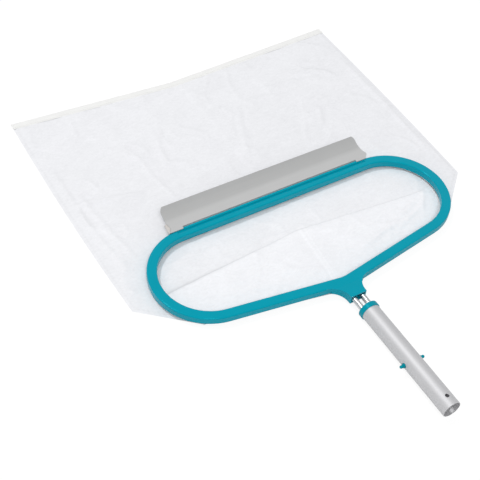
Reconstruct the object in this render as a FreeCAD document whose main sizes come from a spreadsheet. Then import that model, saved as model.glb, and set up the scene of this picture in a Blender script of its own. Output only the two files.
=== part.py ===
import FreeCAD, Part
import Sketcher
import math
import os
from types import SimpleNamespace

# Leaf skimmer net. The origin is the centre of the handle's open end, +Y runs along the handle to the net,
# +X is to the right and +Z is up. Lengths are millimetres and angles are degrees.

DIMENSIONS = {
    # Handle tube
    "tube_outer_r": 15.0,
    "tube_inner_r": 13.7,
    "tube_length": 197.6,
    "tube_edge_break": 0.4,
    "socket_r": 14.1,
    "socket_depth": 60.0,
    "lock_hole_r": 3.25,
    "lock_hole_y": 16.1,
    "button_y": 93.6,
    "button_hole_r": 4.35,
    # Plug in the tube's far end
    "flange_r": 16.5,
    "flange_thickness": 8.5,
    "flange_edge_round": 0.8,
    "insert_r": 13.6,
    "insert_start_y": 150.5,
    "rod_hole_r": 4.6,
    "pin_y": 172.0,
    "pin_r": 1.5,
    "pin_hole_r": 1.6,
    "pin_half_length": 10.0,
    "rivet_y": 184.0,
    "rivet_r": 1.95,
    "rivet_hole_r": 2.05,
    "rivet_top_z": -5.5,
    "rivet_head_r": 3.5,
    "rivet_head_top_r": 2.4,
    "rivet_head_thickness": 1.2,
    # Hoop of metal rod, whose two ends run back into the plug
    "rod_r": 4.5,
    "tail_x": 7.5,
    "tail_start_y": 158.0,
    "bend_r": 18.0,
    # Loop of the rim, along the middle of its section
    "far_bar_y": 467.6,
    "end_arc_x": 180.8,
    "end_arc_r": 87.3,
    "near_slope": 8.8,
    "near_vertex_r": 60.0,
    # Section of the rim's cover and of its closing strip
    "rim_half_width": 8.15,
    "rim_half_height": 6.25,
    "rim_top_round": 2.2,
    "rim_foot_round": 0.8,
    "cavity_outside": 5.4,
    "cavity_inside": 6.0,
    "cavity_top_z": 5.1,
    "groove_left_x": -186.0,
    "groove_right_x": 182.0,
    "groove_lip_y": 466.2,
    "groove_foot_y": 470.9,
    "groove_foot_z": 5.0,
    "backing_start_y": 468.8,
    "backing_foot_y": 471.0,
    "backing_foot_z": 4.25,
    "ridge_left_x": -173.1,
    "ridge_right_x": 166.6,
    "ridge_near_y": 471.45,
    "ridge_slope_y": 472.0,
    "ridge_slope_z": 7.5,
    "ridge_crest_y": 475.1,
    "ridge_crest_z": 8.1,
    "ridge_edge_z": 7.4,
    "strip_outside": 5.3,
    "strip_inside": 4.8,
    "strip_thickness": 1.1,
    # Yoke
    "mouth_y": 230.6,
    "yoke_half_width": 14.4,
    "yoke_half_height": 8.0,
    "yoke_flank_r": 29.5,
    "yoke_taper_start_y": 234.0,
    "yoke_taper_end_y": 256.0,
    "yoke_base_end_x": 30.0,
    "yoke_root_y": 266.0,
    "fit_gap": 0.15,
    "channel_r": 4.65,
    "recess_half_width": 12.4,
    "recess_half_height": 6.0,
    "recess_depth": 6.0,
    "screw_near_y": 241.0,
    "screw_far_y": 250.5,
    "screw_r": 1.4,
    "screw_top_z": 5.2,
    "screw_pilot_r": 1.45,
    "screw_pilot_top_z": 5.5,
    "screw_clearance_r": 1.7,
    "screw_seat_z": -4.9,
    "screw_head_r": 2.8,
    "screw_head_thickness": 1.7,
    "screw_recess_r": 3.0,
    "screw_slot_width": 0.8,
    "screw_slot_depth": 0.8,
    # Surface that the net lies on, as a plane that rises along +Y
    "floor_y": 206.0,
    "floor_z": -16.5,
    "floor_tilt": 1.295,
    # Net
    "band_sleeve_inner_r": 4.55,
    "band_sleeve_outer_r": 5.0,
    "band_gap_half_width": 30.0,
    "band_wall_outside": 4.9,
    "band_wall_inside": 5.8,
    "band_wall_top_z": 0.6,
    "bag_thickness": 2.4,
    "bag_near_left_x": -315.1,
    "bag_near_left_y": 375.0,
    "bag_far_left_x": -318.6,
    "bag_far_left_y": 831.2,
    "bag_far_middle_x": -15.8,
    "bag_far_middle_y": 810.6,
    "bag_far_right_x": 326.5,
    "bag_far_right_y": 827.0,
    "bag_near_right_x": 327.5,
    "bag_near_right_y": 385.1,
    "bag_tuck_right_x": 246.0,
    "bag_tuck_right_y": 311.0,
    "bag_tuck_left_x": -220.7,
    "bag_tuck_left_y": 295.6,
    "bag_near_middle_y": 257.5,
    "tape_width": 14.0,
    "tape_thickness": 3.0,
    # Scoop blade and its clips
    "blade_left_x": -196.4,
    "blade_right_x": 185.4,
    "blade_root_y": 473.0,
    "blade_root_z": 8.3,
    "blade_thickness": 1.8,
    "blade_r": 95.0,
    "blade_start_angle": 10.0,
    "blade_end_angle": 37.85,
    "blade_corner_r": 9.0,
    "blade_tab_left_x": -173.5,
    "blade_tab_right_x": 167.0,
    "blade_notch_depth": 4.2,
    "blade_ends_y": 471.7,
    "nick_foot_x": -198.1,
    "nick_x": -193.3,
    "nick_y": 480.8,
    "nick_top_y": 490.4,
    "flare_foot_x": 184.6,
    "flare_low_y": 479.9,
    "flare_tip_y": 482.3,
    "flare_top_y": 506.5,
    "flare_r": 43.0,
    "flange_wall_gap": 0.2,
    "flange_wall_thickness": 2.4,
    "flange_wall_bottom_z": -4.0,
    "flange_wall_top_z": 8.2,
    "clip_wall_thickness": 2.3,
    "clip_bottom_z": -7.4,
    "clip_lip_top_z": -6.4,
    "clip_lip_inside": 5.6,
    "clip_wall_top_z": 8.0,
    "clip_cheek_start_angle": 11.6,
    "clip_cheek_end_angle": 20.0,
    "clip_cheek_thickness": 2.0,
    "clip_gap": 0.1,
    "left_clip_inner_x": 177.0,
    "left_clip_outer_x": 199.2,
    "right_clip_inner_x": 167.5,
    "right_clip_outer_x": 186.0,
    "ear_gap": 0.4,
    "ear_left_x": -199.9,
    "ear_bevel_x": 2.3,
    "ear_bevel_y": 6.2,
    # Spring clip of the handle, with its two buttons
    "spring_width": 10.0,
    "spring_thickness": 0.8,
    "bow_centre_y": 140.0,
    "bow_r": 10.0,
    "leg_gap": 0.4,
    "leg_shoulder_y": 125.0,
    "leg_end_y": 84.0,
    "leg_outer_x": 12.5,
    "button_base_r": 3.75,
    "button_base_x": 16.5,
    "button_tip_r": 2.5,
    "button_tip_x": 22.5,
    "button_tip_round": 2.2,
    "button_shank_r": 1.6,
    "button_head_r": 2.6,
    "button_head_thickness": 0.8,
}

LEAST_CUT = 0.01


class Size:
    """A number, with the formula that works it out from the sheet."""

    def __init__(self, value, formula=None):
        self.value = float(value)
        self.formula = formula or f"({self.value:.6f})"

    def __add__(self, other):
        other = as_size(other)
        return Size(self.value + other.value, f"({self.formula} + {other.formula})")

    def __sub__(self, other):
        other = as_size(other)
        return Size(self.value - other.value, f"({self.formula} - {other.formula})")

    def __mul__(self, other):
        other = as_size(other)
        return Size(self.value * other.value, f"({self.formula} * {other.formula})")

    def __truediv__(self, other):
        other = as_size(other)
        return Size(self.value / other.value, f"({self.formula} / {other.formula})")

    def __radd__(self, other):
        return as_size(other) + self

    def __rsub__(self, other):
        return as_size(other) - self

    def __rmul__(self, other):
        return as_size(other) * self

    def __neg__(self):
        return as_size(0) - self


def as_size(number):
    """Give a plain number the same form as a size from the sheet."""
    return number if isinstance(number, Size) else Size(number)


def sin(angle):
    return Size(math.sin(math.radians(angle.value)), f"sin({angle.formula})")


def cos(angle):
    return Size(math.cos(math.radians(angle.value)), f"cos({angle.formula})")


def tan(angle):
    return Size(math.tan(math.radians(angle.value)), f"tan({angle.formula})")


def root(number):
    return Size(math.sqrt(number.value), f"sqrt({number.formula})")


doc = FreeCAD.newDocument("leaf_skimmer_net")
sheet = doc.addObject("Spreadsheet::Sheet", "Dims")
for row, (word, number) in enumerate(DIMENSIONS.items(), start=1):
    sheet.set(f"A{row}", word)
    sheet.set(f"B{row}", str(number))
    sheet.setAlias(f"B{row}", word)
doc.recompute()
d = SimpleNamespace(**{word: Size(number, f"Dims.{word}") for word, number in DIMENSIONS.items()})
subparts = []


def bind(thing, path, size):
    """Tie a property to the sheet."""
    thing.setExpression(path, as_size(size).formula)


def new_body(name):
    """Start a sub-part as a body."""
    body = doc.addObject("PartDesign::Body", name)
    body.Label = name
    subparts.append(body)
    return body


def sketch_on(body, role, name, shift=0, along=0):
    """Start a sketch on one of the body's planes, shifted along its normal and along its second axis."""
    plane = next(thing for thing in body.Origin.OriginFeatures if thing.Role == role)
    sketch = body.newObject("Sketcher::SketchObject", name)
    sketch.AttachmentSupport = [(plane, "")]
    sketch.MapMode = "FlatFace"
    bind(sketch, "AttachmentOffset.Base.z", shift)
    bind(sketch, "AttachmentOffset.Base.y", along)
    return sketch


def line(x, y):
    """A straight step to a point."""
    return SimpleNamespace(x=as_size(x), y=as_size(y), centre=None)


def arc(x, y, centre, radius, turn):
    """A step to a point along an arc: turn is 1 anticlockwise and -1 clockwise."""
    middle = (as_size(centre[0]), as_size(centre[1]))
    return SimpleNamespace(x=as_size(x), y=as_size(y), centre=middle, radius=radius, turn=turn)


def angle_about(step, point):
    """Angle of a point, seen from the centre of an arc step."""
    return math.atan2(point.y.value - step.centre[1].value, point.x.value - step.centre[0].value)


def draw(sketch, steps, closed=True):
    """Draw a chain of lines and arcs, with every point tied to the sheet."""
    count = len(steps)
    rules = []
    pieces = []
    for index in list(range(1, count)) + ([0] if closed else []):
        start, step = steps[index - 1], steps[index]
        if step.centre is None:
            ends = [FreeCAD.Vector(point.x.value, point.y.value, 0) for point in (start, step)]
            piece = sketch.addGeometry(Part.LineSegment(*ends))
            pieces.append((piece, 1, 2, start, step))
            continue
        middle = FreeCAD.Vector(step.centre[0].value, step.centre[1].value, 0)
        circle = Part.Circle(middle, FreeCAD.Vector(0, 0, 1), step.radius.value)
        first, last = angle_about(step, start), angle_about(step, step)
        if step.turn < 0:
            first, last = last, first
        piece = sketch.addGeometry(Part.ArcOfCircle(circle, first, last))
        pieces.append((piece, 1, 2, start, step) if step.turn > 0 else (piece, 2, 1, start, step))
        rules.append(("Radius", piece, None, step.radius))
        rules.append(("DistanceX", piece, 3, step.centre[0]))
        rules.append(("DistanceY", piece, 3, step.centre[1]))
    for number, (piece, first, last, start, step) in enumerate(pieces):
        if closed or number + 1 < len(pieces):
            following = pieces[(number + 1) % len(pieces)]
            sketch.addConstraint(Sketcher.Constraint("Coincident", piece, last, following[0], following[1]))
        rules += pins(piece, last, step, curve_at(pieces, number, closed))
    if not closed:
        piece, first, _, start, step = pieces[0]
        rules += pins(piece, first, start, step if step.centre else None)
    add_rules(sketch, rules)


def curve_at(pieces, number, closed):
    """The arc step that meets a chain's point, if there is one."""
    step = pieces[number][4]
    if step.centre:
        return step
    if not closed and number + 1 == len(pieces):
        return None
    following = pieces[(number + 1) % len(pieces)][4]
    return following if following.centre else None


def pins(piece, end, point, curve):
    """Pin a point by both coordinates or, on an arc, by the one that changes most along it."""
    across = ("DistanceX", piece, end, point.x)
    up = ("DistanceY", piece, end, point.y)
    if curve is None:
        return [across, up]
    angle = angle_about(curve, point)
    return [across] if abs(math.sin(angle)) > abs(math.cos(angle)) else [up]


def add_rules(sketch, rules):
    """Add dimensions to a sketch and tie each of them to the sheet."""
    for kind, piece, end, size in rules:
        if end is None:
            rule = Sketcher.Constraint(kind, piece, size.value)
        else:
            rule = Sketcher.Constraint(kind, -1, 1, piece, end, size.value)
        number = sketch.addConstraint(rule)
        bind(sketch, f"Constraints[{number}]", size)


def draw_circle(sketch, x, y, radius):
    """Draw a circle with its centre and radius tied to the sheet."""
    x, y = as_size(x), as_size(y)
    middle = FreeCAD.Vector(x.value, y.value, 0)
    piece = sketch.addGeometry(Part.Circle(middle, FreeCAD.Vector(0, 0, 1), radius.value))
    add_rules(sketch, [
        ("Radius", piece, None, radius),
        ("DistanceX", piece, 3, x),
        ("DistanceY", piece, 3, y),
    ])


def box_steps(left, right, bottom, top):
    """A rectangle as a chain of steps."""
    return [line(left, bottom), line(right, bottom), line(right, top), line(left, top)]


def pad(body, sketch, length, backwards=False, both_ways=False):
    """Add a straight block of a sketch's outline."""
    feature = body.newObject("PartDesign::Pad", f"{sketch.Name}_pad")
    feature.Profile = sketch
    feature.Reversed = backwards
    if both_ways:
        feature.SideType = "Symmetric"
    bind(feature, "Length", length)
    sketch.Visibility = False
    doc.recompute()
    return feature


def cut(body, sketch, length, backwards=False, both_ways=False):
    """Take away a straight block of a sketch's outline, and make sure that it removes something."""
    before = body.Shape.Volume
    feature = body.newObject("PartDesign::Pocket", f"{sketch.Name}_cut")
    feature.Profile = sketch
    feature.Reversed = backwards
    if both_ways:
        feature.SideType = "Symmetric"
    bind(feature, "Length", length)
    sketch.Visibility = False
    doc.recompute()
    if body.Shape.Volume > before - LEAST_CUT:
        raise RuntimeError(f"{feature.Name} removes nothing")
    return feature


def sweep(body, profile, spine, kind="PartDesign::AdditivePipe"):
    """Sweep a profile along a spine, to add to the body or to cut it."""
    feature = body.newObject(kind, f"{profile.Name}_sweep")
    feature.Profile = profile
    feature.Spine = spine
    profile.Visibility = False
    spine.Visibility = False
    doc.recompute()
    return feature


def dress(body, kind, base, edges, size_name, size):
    """Round or bevel edges of the last feature."""
    feature = body.newObject(kind, f"{body.Name}_{size_name.lower()}_{len(body.Group)}")
    feature.Base = (base, edges)
    bind(feature, size_name, size)
    doc.recompute()
    return feature


def edges_where(shape, test):
    """Names of the edges whose bounding box passes a test."""
    return [f"Edge{index}" for index, edge in enumerate(shape.Edges, start=1) if test(edge.BoundBox)]


# Geometry of the rim's loop

far_y = d.far_bar_y
arc_centre_y = far_y - d.end_arc_r
vertex_y = arc_centre_y - d.end_arc_r * cos(d.near_slope) \
    - (d.end_arc_x + d.end_arc_r * sin(d.near_slope)) * tan(d.near_slope)
vertex_centre_y = vertex_y + d.near_vertex_r / cos(d.near_slope)


def near_line_y(x):
    """Height along Y of the near side's straight middle line, at a distance from the centre."""
    return vertex_y + x * tan(d.near_slope)


def loop(offset):
    """The rim's closed loop, moved outwards by an offset."""
    end_r = d.end_arc_r + offset
    vertex_r = d.near_vertex_r + offset
    tangent_x = d.end_arc_x + end_r * sin(d.near_slope)
    tangent_y = arc_centre_y - end_r * cos(d.near_slope)
    vertex_x = vertex_r * sin(d.near_slope)
    vertex_edge_y = vertex_centre_y - vertex_r * cos(d.near_slope)
    return [
        arc(d.end_arc_x, arc_centre_y + end_r, (d.end_arc_x, arc_centre_y), end_r, 1),
        line(-d.end_arc_x, arc_centre_y + end_r),
        arc(-tangent_x, tangent_y, (-d.end_arc_x, arc_centre_y), end_r, 1),
        line(-vertex_x, vertex_edge_y),
        arc(vertex_x, vertex_edge_y, (0, vertex_centre_y), vertex_r, 1),
        line(tangent_x, tangent_y),
    ]


# Geometry of the hoop's bends into the two tails

bend_centre_x = d.tail_x + d.bend_r
bend_end_x = bend_centre_x - d.bend_r * sin(d.near_slope)
bend_end_y = near_line_y(bend_end_x)
bend_y = bend_end_y - d.bend_r * cos(d.near_slope)


def hoop_path():
    """The whole rod: tail, bend, loop, bend and tail."""
    round_end = loop(as_size(0))
    start, far_end, left_end, right_near = round_end[0], round_end[1], round_end[2], round_end[5]
    return [
        line(d.tail_x, d.tail_start_y),
        line(d.tail_x, bend_y),
        arc(bend_end_x, bend_end_y, (bend_centre_x, bend_y), d.bend_r, -1),
        right_near,
        start,
        far_end,
        left_end,
        line(-bend_end_x, bend_end_y),
        arc(-d.tail_x, bend_y, (-bend_centre_x, bend_y), d.bend_r, -1),
        line(-d.tail_x, d.tail_start_y),
    ]


def channel_path(side):
    """The rod's way through one side of the yoke, from outside its mouth into the rim's cavity."""
    inside_x = 2 * bend_end_x
    return [
        line(side * d.tail_x, d.mouth_y - d.recess_depth),
        line(side * d.tail_x, bend_y),
        arc(side * bend_end_x, bend_end_y, (side * bend_centre_x, bend_y), d.bend_r, -side),
        line(side * inside_x, near_line_y(inside_x)),
    ]


# Geometry of the yoke

flank_centre_x = d.yoke_half_width + d.yoke_flank_r
flank_y = vertex_y - d.rim_half_width / cos(d.near_slope) + flank_centre_x * tan(d.near_slope) \
    - d.yoke_flank_r / cos(d.near_slope)


def yoke_outline(end_x, end_y):
    """The yoke seen from above, with its curved flanks cut off at a distance from the centre."""
    return [
        line(-d.yoke_half_width, d.mouth_y),
        line(d.yoke_half_width, d.mouth_y),
        line(d.yoke_half_width, flank_y),
        arc(end_x, end_y, (flank_centre_x, flank_y), d.yoke_flank_r, -1),
        line(end_x, d.yoke_root_y),
        line(-end_x, d.yoke_root_y),
        line(-end_x, end_y),
        arc(-d.yoke_half_width, flank_y, (-flank_centre_x, flank_y), d.yoke_flank_r, -1),
    ]


def taper_steps(side):
    """Side view of what the yoke's taper takes off its top (side 1) or its underside (side -1)."""
    past_y = d.yoke_root_y + d.rim_half_width
    clear_z = side * (d.yoke_half_height + d.rim_half_height)
    return [
        line(d.yoke_taper_start_y, side * d.yoke_half_height),
        line(d.yoke_taper_end_y, side * d.rim_half_height),
        line(past_y, side * d.rim_half_height),
        line(past_y, clear_z),
        line(d.yoke_taper_start_y, clear_z),
    ]


def cut_taper(body, side):
    """Slope the yoke's outer face down to the rim's height."""
    sketch = sketch_on(body, "YZ_Plane", f"{body.Name}_taper")
    draw(sketch, taper_steps(side))
    cut(body, sketch, 4 * d.yoke_flank_r, both_ways=True)


def cut_mouth(body, bottom, top):
    """Sink the recess round the two rods into the yoke's end."""
    sketch = sketch_on(body, "XZ_Plane", f"{body.Name}_mouth", shift=-d.mouth_y)
    draw(sketch, box_steps(-d.recess_half_width, d.recess_half_width, bottom, top))
    cut(body, sketch, d.recess_depth)


def cut_channels(body, outline):
    """Cut the two rods' channels; outline draws their section at a distance from the centre."""
    for side, word in ((1, "right"), (-1, "left")):
        section = sketch_on(
            body, "XZ_Plane", f"{body.Name}_{word}_channel", shift=d.recess_depth - d.mouth_y)
        outline(section, side * d.tail_x)
        spine = sketch_on(body, "XY_Plane", f"{body.Name}_{word}_channel_path")
        draw(spine, channel_path(side), closed=False)
        sweep(body, section, spine, "PartDesign::SubtractivePipe")


def slot_section(sketch, x):
    """A channel that is round above and open below."""
    deep = d.yoke_half_height + d.fit_gap
    draw(sketch, [
        line(x - d.channel_r, -deep),
        line(x + d.channel_r, -deep),
        line(x + d.channel_r, 0),
        arc(x - d.channel_r, 0, (x, 0), d.channel_r, 1),
    ])


def round_section(sketch, x):
    """A round channel."""
    draw_circle(sketch, x, 0, d.channel_r)


# Sub-parts


def make_rim_cover():
    """Rim moulding: a trough that is open below, with the yoke's upper half."""
    body = new_body("rim_cover")
    ring = sketch_on(body, "XY_Plane", "rim_ring", shift=-d.rim_half_height)
    draw(ring, loop(d.rim_half_width))
    draw(ring, loop(-d.rim_half_width))
    block = pad(body, ring, 2 * d.rim_half_height)
    half = d.rim_half_height.value
    top_edges = edges_where(block.Shape, lambda box: box.ZMin > half - 0.01)
    rounded = dress(body, "PartDesign::Fillet", block, top_edges, "Radius", d.rim_top_round)
    foot_edges = edges_where(rounded.Shape, lambda box: box.ZMax < -half + 0.01)
    dress(body, "PartDesign::Fillet", rounded, foot_edges, "Radius", d.rim_foot_round)
    yoke = sketch_on(body, "XY_Plane", "yoke_top")
    end_x = flank_centre_x - d.yoke_flank_r * sin(d.near_slope)
    draw(yoke, yoke_outline(end_x, flank_y + d.yoke_flank_r * cos(d.near_slope)))
    pad(body, yoke, d.yoke_half_height)
    cut_taper(body, 1)
    cavity = sketch_on(body, "XY_Plane", "rim_cavity", shift=-d.rim_half_height)
    draw(cavity, loop(d.cavity_outside))
    draw(cavity, loop(-d.cavity_inside))
    cut(body, cavity, d.rim_half_height + d.cavity_top_z, backwards=True)
    cut_mouth(body, 0, d.recess_half_height)
    cut_channels(body, slot_section)
    pilots = sketch_on(body, "XY_Plane", "screw_pilots")
    for y in (d.screw_near_y, d.screw_far_y):
        draw_circle(pilots, 0, y, d.screw_pilot_r)
    cut(body, pilots, d.screw_pilot_top_z, backwards=True)
    groove_length = d.groove_right_x - d.groove_left_x
    backing = sketch_on(body, "YZ_Plane", "groove_backing", shift=d.groove_left_x)
    draw(backing, backing_steps())
    pad(body, backing, groove_length)
    groove = sketch_on(body, "YZ_Plane", "blade_groove", shift=d.groove_left_x)
    draw(groove, groove_steps())
    cut(body, groove, groove_length, backwards=True)
    ridge = sketch_on(body, "YZ_Plane", "blade_ridge", shift=d.ridge_left_x)
    draw(ridge, ridge_steps())
    pad(body, ridge, d.ridge_right_x - d.ridge_left_x)


def groove_steps():
    """Section of the shallow groove along the top of the rim's far side, in front of the blade."""
    return [
        line(d.groove_lip_y, d.rim_half_height),
        line(d.groove_foot_y, d.groove_foot_z),
        line(d.ridge_near_y, d.rim_half_height),
        line(d.ridge_near_y, d.ridge_crest_z),
        line(d.groove_lip_y, d.ridge_crest_z),
    ]


def backing_steps():
    """Section of the thicker roof under the groove, which stays clear of the net's sleeve."""
    inside_z = (d.cavity_top_z + d.rim_half_height) / 2
    inside_y = far_y + d.cavity_outside + d.fit_gap
    return [
        line(d.backing_start_y, d.cavity_top_z),
        line(d.backing_foot_y, d.backing_foot_z),
        line(inside_y, d.backing_foot_z),
        line(inside_y, inside_z),
        line(d.backing_start_y, inside_z),
    ]


def ridge_steps():
    """Section of the low ridge on the rim's far side, which fills the blade's notch."""
    outer_y = far_y + d.rim_half_width
    inner_y = far_y + d.cavity_outside + d.fit_gap
    foot_z = d.rim_half_height - d.rim_top_round
    roof_z = d.cavity_top_z + d.fit_gap
    return [
        line(outer_y, foot_z),
        line(outer_y, d.ridge_edge_z),
        line(d.ridge_crest_y, d.ridge_crest_z),
        line(d.ridge_slope_y, d.ridge_slope_z),
        line(d.ridge_near_y, d.rim_half_height),
        line(d.ridge_near_y, roof_z),
        line(inner_y, roof_z),
        line(inner_y, foot_z),
    ]


def make_rim_base_strip():
    """Flat strip that closes the rim's cavity from below and holds the net's band in."""
    body = new_body("rim_base_strip")
    ring = sketch_on(body, "XY_Plane", "strip_ring", shift=-d.rim_half_height)
    draw(ring, loop(d.strip_outside))
    draw(ring, loop(-d.strip_inside))
    pad(body, ring, d.strip_thickness)


def make_yoke_base():
    """Lower half of the yoke, which clamps the rods from below."""
    body = new_body("yoke_base")
    reach = flank_centre_x - d.yoke_base_end_x
    end_y = flank_y + root(d.yoke_flank_r * d.yoke_flank_r - reach * reach)
    block = sketch_on(body, "XY_Plane", "yoke_bottom", shift=-d.yoke_half_height)
    draw(block, yoke_outline(d.yoke_base_end_x, end_y))
    pad(body, block, d.yoke_half_height)
    rim_side = sketch_on(body, "XY_Plane", "rim_side", shift=-d.yoke_half_height)
    draw(rim_side, loop(d.rim_half_width + d.fit_gap))
    cut(body, rim_side, d.yoke_half_height, backwards=True)
    cut_taper(body, -1)
    cut_mouth(body, -d.recess_half_height, 0)
    cut_channels(body, round_section)
    for word, radius, top_z in (("hole", d.screw_clearance_r, as_size(0)),
                                ("seat", d.screw_recess_r, d.screw_seat_z)):
        holes = sketch_on(body, "XY_Plane", f"screw_{word}s", shift=-d.yoke_half_height)
        for y in (d.screw_near_y, d.screw_far_y):
            draw_circle(holes, 0, y, radius)
        cut(body, holes, d.yoke_half_height + top_z, backwards=True)


def cylinder(name, radius, height, x, y, z):
    """An upright cylinder, tied to the sheet."""
    thing = doc.addObject("Part::Cylinder", name)
    bind(thing, "Radius", radius)
    bind(thing, "Height", height)
    for axis, size in (("x", x), ("y", y), ("z", z)):
        bind(thing, f"Placement.Base.{axis}", size)
    return thing


def pair_up(kind, name, base, tool):
    """Fuse or cut two objects."""
    thing = doc.addObject(kind, name)
    thing.Base = base
    thing.Tool = tool
    return thing


def gather(name, things):
    """Join separate solids in one sub-part."""
    group = doc.addObject("Part::Compound", name)
    group.Label = name
    group.Links = things
    subparts.append(group)


def yoke_screw(word, y):
    """One screw, put in from below, with a slot in its head."""
    head_z = d.screw_seat_z - d.screw_head_thickness
    shank = cylinder(f"{word}_screw_shank", d.screw_r, d.screw_top_z - head_z, 0, y, head_z)
    head = cylinder(f"{word}_screw_head", d.screw_head_r, d.screw_head_thickness, 0, y, head_z)
    slot = doc.addObject("Part::Box", f"{word}_screw_slot")
    bind(slot, "Length", 2 * d.screw_head_r)
    bind(slot, "Width", d.screw_slot_width)
    bind(slot, "Height", d.screw_slot_depth)
    bind(slot, "Placement.Base.x", -d.screw_head_r)
    bind(slot, "Placement.Base.y", y - d.screw_slot_width / 2)
    bind(slot, "Placement.Base.z", head_z)
    return pair_up("Part::Cut", f"{word}_screw", pair_up("Part::Fuse", f"{word}_blank", shank, head), slot)


def make_yoke_screws():
    """The two screws that hold the yoke's halves together."""
    gather("yoke_screws", [yoke_screw("near", d.screw_near_y), yoke_screw("far", d.screw_far_y)])


def make_hoop_rod():
    """Bent metal rod, with a cross hole in each tail."""
    body = new_body("hoop_rod")
    section = sketch_on(body, "XZ_Plane", "rod_section", shift=-d.tail_start_y)
    draw_circle(section, d.tail_x, 0, d.rod_r)
    spine = sketch_on(body, "XY_Plane", "rod_path")
    draw(spine, hoop_path(), closed=False)
    sweep(body, section, spine)
    holes = sketch_on(body, "XY_Plane", "rod_pin_holes")
    for side in (1, -1):
        draw_circle(holes, side * d.tail_x, d.pin_y, d.pin_hole_r)
    cut(body, holes, 4 * d.rod_r, both_ways=True)


def make_mouth_band():
    """Band of the net's mouth: a sleeve round the hoop, and the wall that hangs from it to the bag."""
    body = new_body("mouth_band")
    for word, radius, kind in (("outer", d.band_sleeve_outer_r, "PartDesign::AdditivePipe"),
                               ("inner", d.band_sleeve_inner_r, "PartDesign::SubtractivePipe")):
        section = sketch_on(body, "YZ_Plane", f"sleeve_{word}", shift=d.end_arc_x)
        draw_circle(section, far_y, 0, radius)
        spine = sketch_on(body, "XY_Plane", f"sleeve_{word}_path")
        draw(spine, loop(as_size(0)))
        sweep(body, section, spine, kind)
    gap = sketch_on(body, "XY_Plane", "sleeve_gap")
    draw(gap, box_steps(-d.band_gap_half_width, d.band_gap_half_width, d.mouth_y, vertex_centre_y))
    cut(body, gap, 4 * d.band_sleeve_outer_r, both_ways=True)
    wall = sketch_on(body, "XY_Plane", "band_wall", shift=d.floor_z)
    draw(wall, loop(-d.band_wall_outside))
    draw(wall, loop(-d.band_wall_inside))
    pad(body, wall, d.band_wall_top_z - d.floor_z)
    foot = sketch_on(body, "YZ_Plane", "band_foot")
    near_y, past_y = d.mouth_y, far_y + d.end_arc_r
    draw(foot, [
        line(near_y, bag_top_z(near_y)),
        line(near_y, 2 * d.floor_z),
        line(past_y, 2 * d.floor_z),
        line(past_y, bag_top_z(past_y)),
    ])
    cut(body, foot, 4 * (d.end_arc_x + d.end_arc_r), both_ways=True)


def bag_top_z(y):
    """Height of the bag's upper face, which is parallel to the surface that the net lies on."""
    return d.floor_z + (y - d.floor_y) * tan(d.floor_tilt) + d.bag_thickness / cos(d.floor_tilt)


def lay_on_floor(body):
    """Tilt a body's own frame so that its base plane is the surface that the net lies on."""
    body.Placement = FreeCAD.Placement(
        FreeCAD.Vector(0, d.floor_y.value, d.floor_z.value),
        FreeCAD.Rotation(FreeCAD.Vector(1, 0, 0), d.floor_tilt.value))
    bind(body, "Placement.Base.y", d.floor_y)
    bind(body, "Placement.Base.z", d.floor_z)
    bind(body, "Placement.Rotation.Angle", d.floor_tilt)


def toward(start, end, distance):
    """The point at a distance from a start point, towards an end point."""
    run_x, run_y = end[0] - start[0], end[1] - start[1]
    share = distance / root(run_x * run_x + run_y * run_y)
    return start[0] + run_x * share, start[1] + run_y * share


near_left = (d.bag_near_left_x, d.bag_near_left_y - d.floor_y)
near_right = (d.bag_near_right_x, d.bag_near_right_y - d.floor_y)
far_left = (d.bag_far_left_x, d.bag_far_left_y - d.floor_y)
far_middle = (d.bag_far_middle_x, d.bag_far_middle_y - d.floor_y)
far_right = (d.bag_far_right_x, d.bag_far_right_y - d.floor_y)
tape_left = toward(far_left, near_left, d.tape_width)
tape_middle = (d.bag_far_middle_x, d.bag_far_middle_y - d.floor_y - d.tape_width)
tape_right = toward(far_right, near_right, d.tape_width)


def make_net_bag():
    """The bag, lying flat, as thick as its two layers."""
    body = new_body("net_bag")
    lay_on_floor(body)
    outline = sketch_on(body, "XY_Plane", "bag_outline")
    draw(outline, [
        line(*near_left),
        line(d.bag_tuck_left_x, d.bag_tuck_left_y - d.floor_y),
        line(0, d.bag_near_middle_y - d.floor_y),
        line(d.bag_tuck_right_x, d.bag_tuck_right_y - d.floor_y),
        line(*near_right),
        line(*tape_right),
        line(*tape_middle),
        line(*tape_left),
    ])
    pad(body, outline, d.bag_thickness)


def make_bag_end_tape():
    """Tape along the bag's far edge."""
    body = new_body("bag_end_tape")
    lay_on_floor(body)
    outline = sketch_on(body, "XY_Plane", "tape_outline")
    draw(outline, [
        line(*tape_left),
        line(*tape_middle),
        line(*tape_right),
        line(*far_right),
        line(*far_middle),
        line(*far_left),
    ])
    pad(body, outline, d.tape_thickness)


# Geometry of the blade's curve, seen from its end

curve_centre_y = d.blade_root_y - d.blade_r * sin(d.blade_start_angle)
curve_centre_z = d.blade_root_z + d.blade_r * cos(d.blade_start_angle)
back_r = d.blade_r + d.blade_thickness


def on_curve(radius, angle):
    """The point of the blade's curve at a radius, at an angle from straight down."""
    return curve_centre_y + radius * sin(angle), curve_centre_z - radius * cos(angle)


blade_top_y = on_curve(back_r, d.blade_end_angle)[0]
flare_run = d.flare_top_y - d.flare_tip_y
flare_tip_x = d.blade_right_x + d.flare_r - root(d.flare_r * d.flare_r - flare_run * flare_run)


def curved_band(inner_r, outer_r, start_angle, end_angle):
    """A band between two arcs of the blade's curve."""
    centre = (curve_centre_y, curve_centre_z)
    return [
        line(*on_curve(inner_r, start_angle)),
        arc(*on_curve(inner_r, end_angle), centre, inner_r, 1),
        line(*on_curve(outer_r, end_angle)),
        arc(*on_curve(outer_r, start_angle), centre, outer_r, -1),
    ]


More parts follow.
